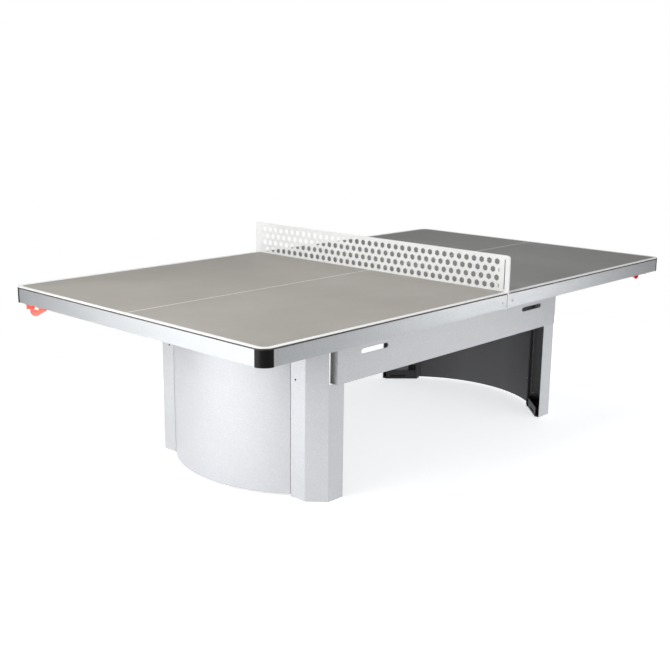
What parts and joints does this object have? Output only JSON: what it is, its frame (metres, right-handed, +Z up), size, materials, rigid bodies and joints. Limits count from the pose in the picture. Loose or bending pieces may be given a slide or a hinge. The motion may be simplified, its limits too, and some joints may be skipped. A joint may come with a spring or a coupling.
{
  "type": "static table tennis table with net clamp",
  "caption": "Outdoor table tennis table on two curved steel legs, with a perforated sheet steel net clamped by screws and threaded plates in the seam between the half tops.",
  "frame": {"origin": "on the ground under the centre of the table, in the plane of the net", "axes": "+X along the table's length, +Y across the table along the net, +Z up"},
  "size_m": [2.74, 1.5336, 0.913],
  "materials": {
    "laminate": "matt textured laminate with painted lines",
    "rail_steel": "fine speckled silver coating",
    "beam_steel": "fine speckled silver coating",
    "leg_steel": "fine speckled silver coating",
    "galvanised": "galvanised",
    "dark_liner": "matt dark grey",
    "black_steel": "black powder coat",
    "black_plastic": "satin black",
    "red_plastic": "satin",
    "net_white": "white powder coat",
    "screw_white": "white coated screw head"
  },
  "bodies": {
    "table": {"tabletop_near": "laminate", "tabletop_far": "laminate", "long_rail_near_right": "rail_steel", "long_rail_near_left": "rail_steel", "long_rail_far_right": "rail_steel", "long_rail_far_left": "rail_steel", "end_rail_near": "rail_steel", "end_rail_far": "rail_steel", "corner_caps": "black_plastic", "top_screws": "galvanised", "seam_braces": "galvanised", "mid_braces": "galvanised", "leg_braces": "galvanised", "end_braces": "galvanised", "brace_webs": "galvanised", "brace_top_strips": "galvanised", "side_beam_right": "beam_steel", "side_beam_left": "beam_steel", "beam_ties": "galvanised", "frame_bolts": "galvanised", "frame_nuts": "galvanised", "leg_post_near_right": "leg_steel", "leg_post_near_left": "leg_steel", "leg_post_far_right": "leg_steel", "leg_post_far_left": "leg_steel", "leg_panel_near": "leg_steel", "leg_panel_far": "leg_steel", "leg_liner_near": "dark_liner", "leg_liner_far": "dark_liner", "post_liners": "dark_liner", "leg_top_plates": "galvanised", "panel_bolts": "galvanised", "panel_nuts": "galvanised", "panel_spacers": "black_plastic", "liner_rivets": "black_plastic", "foot_bracket_near_right": "black_steel", "foot_bracket_near_left": "black_steel", "foot_bracket_far_right": "black_steel", "foot_bracket_far_left": "black_steel", "ball_holder_near": "red_plastic", "ball_holder_far": "red_plastic", "holder_screws": "galvanised"},
    "net": {"net_sheet": "net_white", "net_leg_right": "net_white", "net_leg_left": "net_white", "net_bracket_right": "net_white", "net_bracket_left": "net_white"},
    "plate_right": {"clamp_plate_right": "galvanised"},
    "plate_left": {"clamp_plate_left": "galvanised"},
    "screw_right_near": {"clamp_screw_right_near": "screw_white"},
    "screw_right_far": {"clamp_screw_right_far": "screw_white"},
    "screw_left_near": {"clamp_screw_left_near": "screw_white"},
    "screw_left_far": {"clamp_screw_left_far": "screw_white"}
  },
  "joints": [
    {"name": "net_height", "type": "slide", "parent": "table", "child": "net", "axis": [0, 0, 1], "range_m": [0, 0.008]},
    {"name": "clamp_plate_right_release", "type": "slide", "parent": "table", "child": "plate_right", "axis": [0, 1, 0], "range_m": [0, 0.0035]},
    {"name": "clamp_plate_left_release", "type": "slide", "parent": "table", "child": "plate_left", "axis": [0, -1, 0], "range_m": [0, 0.0035]},
    {"name": "clamp_screw_right_near_turn", "type": "hinge", "parent": "table", "child": "screw_right_near", "pos_m": [-0.0357, -0.7625, 0.722], "axis": [0, -1, 0], "range_deg": [0, 1080]},
    {"name": "clamp_screw_right_far_turn", "type": "hinge", "parent": "table", "child": "screw_right_far", "pos_m": [0.0357, -0.7625, 0.722], "axis": [0, -1, 0], "range_deg": [0, 1080]},
    {"name": "clamp_screw_left_near_turn", "type": "hinge", "parent": "table", "child": "screw_left_near", "pos_m": [-0.0357, 0.7625, 0.722], "axis": [0, 1, 0], "range_deg": [0, 1080]},
    {"name": "clamp_screw_left_far_turn", "type": "hinge", "parent": "table", "child": "screw_left_far", "pos_m": [0.0357, 0.7625, 0.722], "axis": [0, 1, 0], "range_deg": [0, 1080]}
  ],
  "couplings": [
    {"joint": "clamp_screw_right_near_turn", "follows": "clamp_plate_right_release", "rad_per_m": 5026.5},
    {"joint": "clamp_screw_right_far_turn", "follows": "clamp_plate_right_release", "rad_per_m": 5026.5},
    {"joint": "clamp_screw_left_near_turn", "follows": "clamp_plate_left_release", "rad_per_m": 5026.5},
    {"joint": "clamp_screw_left_far_turn", "follows": "clamp_plate_left_release", "rad_per_m": 5026.5}
  ]
}
